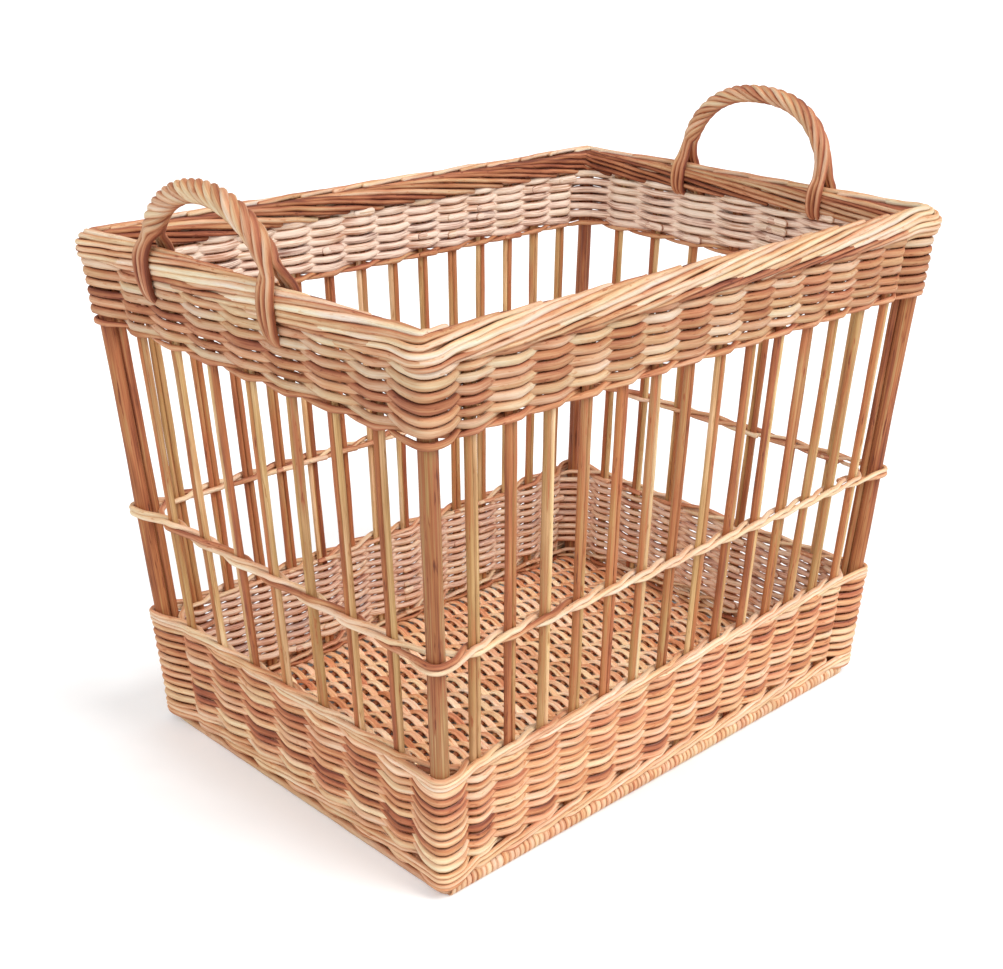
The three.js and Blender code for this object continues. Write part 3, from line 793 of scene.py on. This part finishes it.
def turnRod(name, middle, radius, low, high, cuts, sides):  # one straight rod with eased ends
    bpy.ops.object.select_all(action="DESELECT")
    height = (high - low) * mm
    bpy.ops.mesh.primitive_cylinder_add(
        vertices=sides, radius=radius * mm, depth=height,
        location=(middle[0] * mm, middle[1] * mm, (low + high) / 2 * mm))
    made = bpy.context.object
    made.name = name
    bpy.ops.object.transform_apply(location=True, rotation=True, scale=True)
    bpy.ops.object.mode_set(mode="EDIT")
    bpy.ops.mesh.select_mode(type="EDGE")
    bpy.ops.mesh.select_all(action="DESELECT")
    bpy.ops.object.mode_set(mode="OBJECT")
    for edge in made.data.edges:
        ends = [made.data.vertices[v].co.z for v in edge.vertices]
        edge.select = abs(ends[0] - ends[1]) > height / 2
    bpy.ops.object.mode_set(mode="EDIT")
    bpy.ops.mesh.subdivide(number_cuts=cuts)
    bpy.ops.mesh.select_all(action="DESELECT")
    bpy.ops.object.mode_set(mode="OBJECT")
    for face in made.data.polygons:
        face.select = abs(face.normal.z) > 0.9
    bpy.ops.object.mode_set(mode="EDIT")
    bpy.ops.mesh.select_mode(type="FACE")
    bpy.ops.mesh.bevel(offset=radius * rodShape["eased"] * mm, segments=2, affect="EDGES")
    bpy.ops.mesh.select_all(action="DESELECT")
    bpy.ops.object.mode_set(mode="OBJECT")
    bpy.ops.object.shade_smooth_by_angle(angle=math.radians(rodShape["smoothBelow"]))
    return made


def joined(name, parts):
    bpy.ops.object.select_all(action="DESELECT")
    for part in parts:
        part.select_set(True)
    bpy.context.view_layer.objects.active = parts[0]
    bpy.ops.object.join()
    parts[0].name = name
    parts[0].data.name = name
    return parts[0]


def roughened(made, middles, depth, length):  # the small swellings and bends of a grown rod
    phases = [anyPhase() for _ in range(6)]
    (fine, often), (ridge, ridges, winding) = rodShape["fineSwell"], rodShape["ridges"]
    (swayX, lengthX), (swayY, lengthY) = rodShape["swayX"], rodShape["swayY"]
    for corner in made.data.vertices:
        z = corner.co.z / mm
        x, y = corner.co.x / mm, corner.co.y / mm
        middle = min(middles, key=lambda m: (m[0] - x) ** 2 + (m[1] - y) ** 2)
        angle = math.atan2(y - middle[1], x - middle[0])
        waves = math.sin(z / length + phases[0]) + fine * math.sin(z / length * often + phases[1])
        swell = 1 + depth * (waves + ridge * math.sin(angle * ridges + phases[2] + z / winding))
        corner.co.x = (middle[0] + (x - middle[0]) * swell + swayX * math.sin(z / lengthX + phases[3])) * mm
        corner.co.y = (middle[1] + (y - middle[1]) * swell + swayY * math.sin(z / lengthY + phases[4])) * mm


def standUp(made, low, high, turned):
    # leans out with the wall: low and high are where the rod's middle is at z 0 and 100
    slope = (high - low) / 100
    lean = Matrix(((1, 0, slope[0], low[0] * mm), (0, 1, slope[1], low[1] * mm), (0, 0, 1, 0), (0, 0, 0, 1)))
    made.data.transform(lean @ Matrix.Rotation(turned, 4, "Z"))
    made.data.update()


stakePair = {
    "left": {"middle": (-2.25, 0.0), "radius": 2.85, "sides": 14, "tones": [(3, 0.32, 0.48), (2, 0.46, 0.60)]},
    "right": {"middle": (2.85, 0.0), "radius": 2.25, "sides": 12, "tones": [(1, 0.38, 0.56), (3, 0.58, 0.84)]},
    "cuts": 30, "light": (0.96, 1.14), "swapped": 0.15, "swell": 0.05, "swellLength": 23.0,
}
foot, top = basket["uprightFoot"], basket["uprightTop"]
pairRods = [stakePair["left"], stakePair["right"]]
pairModel = joined("stakeModel", [
    turnRod("stakeRod", rod["middle"], rod["radius"], foot, top, stakePair["cuts"], rod["sides"]) for rod in pairRods
])
wallNames = ["front", "right", "back", "left"]
for index, (first, bays, along, _) in enumerate(walls):
    for step in range(1, bays):
        number = step if index < 2 else bays - step
        made = placed(f"stakePair_{wallNames[index]}_{number}", pairModel.data.copy())
        made.data.name = made.name
        middles = [rod["middle"] for rod in pairRods]
        if chance.random() < stakePair["swapped"]:
            made.data.transform(Matrix.Scale(-1, 4, (1, 0, 0)))
            made.data.flip_normals()
            middles = [(-x, y) for x, y in middles]
        roughened(made, middles, stakePair["swell"], stakePair["swellLength"])
        tones = [drawTone(rod["tones"]) for rod in pairRods]
        lights = [chance.uniform(*stakePair["light"]) for rod in pairRods]
        rodFinish(made, list(zip(middles, [rod["radius"] for rod in pairRods], tones, lights)))
        low, high = (np.array(wallPoint(first + step, 0, z)[:2]) for z in (0, 100))
        standUp(made, low, high, math.atan2(along[1], along[0]))
        dress(made, stakeWillow, "stake", f"stake_{wallNames[index]}_{number}")
bpy.data.objects.remove(pairModel)

postRods = {
    "slimmer": 0.35,  # leaves room for the swellings
    "main": {"cuts": 40, "sides": 28, "swell": 0.018, "swellLength": 31.0},
    "tucked": {"cuts": 30, "sides": 14, "swell": 0.04, "swellLength": 27.0, "paler": 0.04, "light": 0.95},
    "tones": {  # tone and light of the main rod
        "front_left": (0.50, 0.82), "front_right": (0.37, 1.00),
        "back_right": (0.32, 1.00), "back_left": (0.35, 1.00),
    },
}
for index, (place, (tone, light)) in enumerate(postRods["tones"].items()):
    inwards = -np.sign(cornerAt(index, 0)) / math.sqrt(2)
    beside = tuple(inwards * basket["tuckedReach"])
    main, tucked = postRods["main"], postRods["tucked"]
    radius = basket["postRadius"] - postRods["slimmer"]
    mainRod = turnRod("postRod", (0, 0), radius, foot, top, main["cuts"], main["sides"])
    roughened(mainRod, [(0, 0)], main["swell"], main["swellLength"])
    tuckedRod = turnRod("tuckedRod", beside, basket["tuckedRadius"], foot, top, tucked["cuts"], tucked["sides"])
    roughened(tuckedRod, [beside], tucked["swell"], tucked["swellLength"])
    made = joined(f"post_{place}_rods", [mainRod, tuckedRod])
    rodFinish(made, [
        ((0, 0), basket["postRadius"], tone, light),
        (beside, basket["tuckedRadius"], tone + tucked["paler"], tucked["light"]),
    ])
    standUp(made, cornerAt(index, 0), cornerAt(index, 100), 0)
    dress(made, postWillow, "post", f"post_{place}")

# every third stick of the floor is a node of its own, the others belong to the woven floor
floorSticks = {"cuts": 40, "sides": 12, "swell": 0.04, "swellLength": 29.0, "tone": 0.4, "light": 0.9}
for number, row in enumerate(stickRows, 1):
    radius, half = basket["stickRadius"], basket["stickHalf"]
    made = turnRod(f"floorStick_{number}", (0, 0), radius, -half, half, floorSticks["cuts"], floorSticks["sides"])
    roughened(made, [(0, 0)], floorSticks["swell"], floorSticks["swellLength"])
    rodFinish(made, [((0, 0), radius, floorSticks["tone"], floorSticks["light"])])
    laid = Matrix.Rotation(math.radians(90), 4, "Y")
    made.data.transform(Matrix.Translation((0, row * mm, basket["stickLevel"] * mm)) @ laid)
    node = f"base_stick_{number // 3 + 1}" if number % 3 == 2 else "base_weave"
    dress(made, stakeWillow, "base_stick", node)
print("uprights stood")

handles = {
    "left": {
        "side": -1, "middle": 31.0, "half": 78.0, "foot": 436.0, "rise": 62.5, "fullness": 2.0,
        "pitch": 53.0, "strandHalf": 3.25, "helix": 6.0, "tones": [(3, 0.64, 0.90), (1, 0.48, 0.62)],
        "light": (0.80, 0.94),
    },
    "right": {
        "side": 1, "middle": -11.5, "half": 79.0, "foot": 444.0, "rise": 74.3, "fullness": 2.3,
        "pitch": 62.0, "strandHalf": 2.85, "helix": 5.25, "tones": [(3, 0.55, 0.80), (1, 0.4, 0.55)],
        "light": (0.90, 1.04),
    },
}
rope = {
    "strands": 6, "leg": 22.0, "beside": 1.78, "archSteps": 80, "step": 3.0, "footSpacing": 3.4,
    "slackRun": (0, 22, 110), "tightness": (0.35, 0.50, 1.0),  # the lay is slack at the near foot
    "narrowOver": 16.0, "narrow": 0.92, "firstTurn": 0.25, "footThin": 0.70, "footSwell": 0.26,
    "darker": 0.26, "darkFrom": (432, 478), "sides": 10, "creaseShade": 0.9, "rough": 0.06,
    "outside": [  # level, distance from the wall's middle, how far the strands stay spread
        (452.0, 6.4, 0.80), (446.0, 9.4, 0.95), (439.0, 11.6, 1.0), (431.0, 12.0, 1.0), (422.0, 11.6, 0.9),
        (412.5, 10.0, 0.7), (406.5, 6.8, 0.5), (403.5, 2.6, 0.42),
    ],
    "inside": [
        (452.0, 7.0, 0.80), (446.0, 10.2, 0.95), (439.0, 11.8, 1.0), (432.0, 11.8, 1.0), (425.5, 10.8, 0.92),
        (420.5, 8.0, 0.8), (417.8, 3.0, 0.7),
    ],
}


def archPath(handle):  # from the foot at low y up and over to the other foot
    turns = np.linspace(math.pi, 0, 2 * rope["archSteps"] + 1)
    power = 2 / handle["fullness"]
    y = handle["middle"] + handle["half"] * np.sign(np.cos(turns)) * np.abs(np.cos(turns)) ** power
    z = handle["foot"] + handle["rise"] * np.abs(np.sin(turns)) ** power
    return np.stack([y, z], axis=1)


def atWall(side, offset, level):
    lean = basket["lengthFlare"] * level / basket["rim"]
    return side * (basket["baseHalfLength"] + lean + offset)


def twisted(handle):  # the strands of the arch, before they part above the border
    arch = archPath(handle)
    steps = np.linalg.norm(np.diff(arch, axis=0), axis=1)
    run = np.concatenate([[0], np.cumsum(steps)])
    even = np.linspace(0, run[-1], int(run[-1] / rope["step"]))
    y, z = np.interp(even, run, arch[:, 0]), np.interp(even, run, arch[:, 1])
    ahead = np.stack([np.gradient(y), np.gradient(z)], axis=1)
    ahead /= np.linalg.norm(ahead, axis=1, keepdims=True)
    lay = np.cumsum(np.interp(even, rope["slackRun"], rope["tightness"])) * (even[1] - even[0])
    leg = rope["leg"]
    kept = (even > leg) & (even < even[-1] - leg)
    toFoot = np.minimum(even, even[-1] - even)
    helix = handle["helix"] * np.interp(toFoot, [leg, leg + rope["narrowOver"]], [rope["narrow"], 1.0])
    strands = []
    for index in range(rope["strands"]):
        turned = 2 * math.pi * ((index + rope["firstTurn"]) / rope["strands"] + (lay - lay[-1]) / handle["pitch"])
        angle = turned * handle["side"]
        sideways, outwards = helix * np.cos(angle), helix * np.sin(angle)
        path = np.zeros((len(even), 5))
        path[:, 1] = y - ahead[:, 1] * sideways
        path[:, 2] = z + ahead[:, 0] * sideways
        path[:, 0] = atWall(handle["side"], outwards, path[:, 2])
        path[:, 3:] = handle["strandHalf"]
        strands.append(path[kept])
    return strands


def parted(handle, strands, end):  # half of the strands go down outside the wall, half inside
    edges = [strand[end] for strand in strands]
    offsets = [edge[0] * handle["side"] - atWall(1, 0, edge[2]) for edge in edges]
    order = sorted(range(len(edges)), key=lambda index: offsets[index])
    half = len(order) // 2
    arch, top = archPath(handle), rope["archSteps"]
    arch = arch[:top + 1] if end == 0 else arch[top:][::-1]
    feet = [None] * len(edges)
    for direction, group in ((-1, order[:half]), (1, order[half:])):
        group = sorted(group, key=lambda index: edges[index][1])
        for rank, index in enumerate(group):
            beside = (rank - (half - 1) / 2) * rope["beside"] * handle["strandHalf"]
            keys = []
            for level, out, spread in rope["outside" if direction > 0 else "inside"]:
                x = atWall(handle["side"], direction * out, level)
                thin = handle["strandHalf"] * (rope["footThin"] + rope["footSwell"] * spread)
                y = np.interp(level, arch[:, 1], arch[:, 0])
                keys.append([x, y + beside * spread, level, thin, thin])
            feet[index] = np.array(keys)
    return feet


for name, handle in handles.items():
    bundle = Bundle()
    strands = twisted(handle)
    starts, ends = parted(handle, strands, 0), parted(handle, strands, -1)
    for before, middle, after in zip(starts, strands, ends):
        path = evenPath(np.vstack([before[::-1], middle, after]), rope["footSpacing"])
        across = np.tile(np.array([handle["side"], 0, 0.0]), (len(path), 1))
        tone, light = drawLook(handle)
        tone = tone - rope["darker"] * np.interp(path[:, 2], rope["darkFrom"], [1, 0])
        bundle.strand(path, tone, light, across, rope["sides"], rope["creaseShade"], rope["rough"])
    bundle.piece(f"handleRope_{name}", strandWillow, "rope_handle", f"handle_{name}")
print("handles twisted")

stage = {
    "size": 40.0, "brightness": 0.86, "surround": 0.62,
    "lift": 0.22, "liftFrom": (0.12, 0.30),  # the camera sees the floor paler away from the basket, in metres; near the basket the glow is left out, a painted shadow
}
white = (1, 1, 1, 1)
bpy.ops.object.select_all(action="DESELECT")
bpy.ops.mesh.primitive_plane_add(size=stage["size"], location=(0, 0, 0))
floor = bpy.context.object
floor.name = "paleFloor"
pale = Finish(bpy.data.materials.new("paleFloorFinish"))
seen = pale.node("ShaderNodeLightPath", {}, {}, "Is Camera Ray")
matt = pale.node("ShaderNodeBsdfDiffuse", {}, {"Color": (stage["brightness"],) * 3 + (1,)})
spot = pale.node("ShaderNodeTexCoord", {}, {}, "Object")
away = pale.node("ShaderNodeVectorMath", {"operation": "LENGTH"}, {0: spot}, "Value")
# painted shadow: the glow fades out towards the basket, darkening the floor under and round it
lifted = pale.between(away, *stage["liftFrom"]) * stage["lift"]
glow = pale.node("ShaderNodeEmission", {}, {"Color": white, "Strength": lifted})
both = pale.node("ShaderNodeAddShader", {}, {0: matt, 1: glow})
floor.data.materials.append(pale.shown(pale.node("ShaderNodeMixShader", {}, {0: seen, 1: matt, 2: both})))

surround = Finish(bpy.data.worlds.new("paleSurround"))
seen = surround.node("ShaderNodeLightPath", {}, {}, "Is Camera Ray")
soft = surround.node("ShaderNodeBackground", {}, {"Color": white, "Strength": stage["surround"]})
plain = surround.node("ShaderNodeBackground", {}, {"Color": white, "Strength": 1.0})
shown = surround.node("ShaderNodeMixShader", {}, {0: seen, 1: soft, 2: plain})
bpy.context.scene.world = surround.shown(shown, "ShaderNodeOutputWorld")

lamps = {
    "keyLamp": {"from": (0.35, -1.0, 1.25), "strength": 2.0, "spread": 30},
    "fillLamp": {"from": (-1.0, -0.35, 0.9), "strength": 0.9, "spread": 50},
}
for name, lamp in lamps.items():
    light = bpy.data.lights.new(name, "SUN")
    light.energy = lamp["strength"]
    light.angle = math.radians(lamp["spread"])
    made = placed(name, light)
    made.rotation_euler = Vector(lamp["from"]).to_track_quat("Z", "Y").to_euler()

shot = {
    "place": (-0.8900, -0.8905, 0.7148),
    "ahead": (0.64610, 0.66560, -0.37350),
    "roll": 0.50,
    "lens": 55.55,
    "sensor": 36,
}
camera = bpy.data.cameras.new("photoCamera")
camera.lens = shot["lens"]
camera.sensor_width = shot["sensor"]
cameraObject = placed("photoCamera", camera)
looking = Vector(shot["ahead"]).to_track_quat("-Z", "Y").to_matrix().to_4x4()
cameraObject.matrix_world = (Matrix.Translation(shot["place"]) @ looking
                             @ Matrix.Rotation(math.radians(shot["roll"]), 4, "Z"))
bpy.context.scene.camera = cameraObject
bpy.context.scene.view_settings.view_transform = "Standard"
print("stage and camera set")
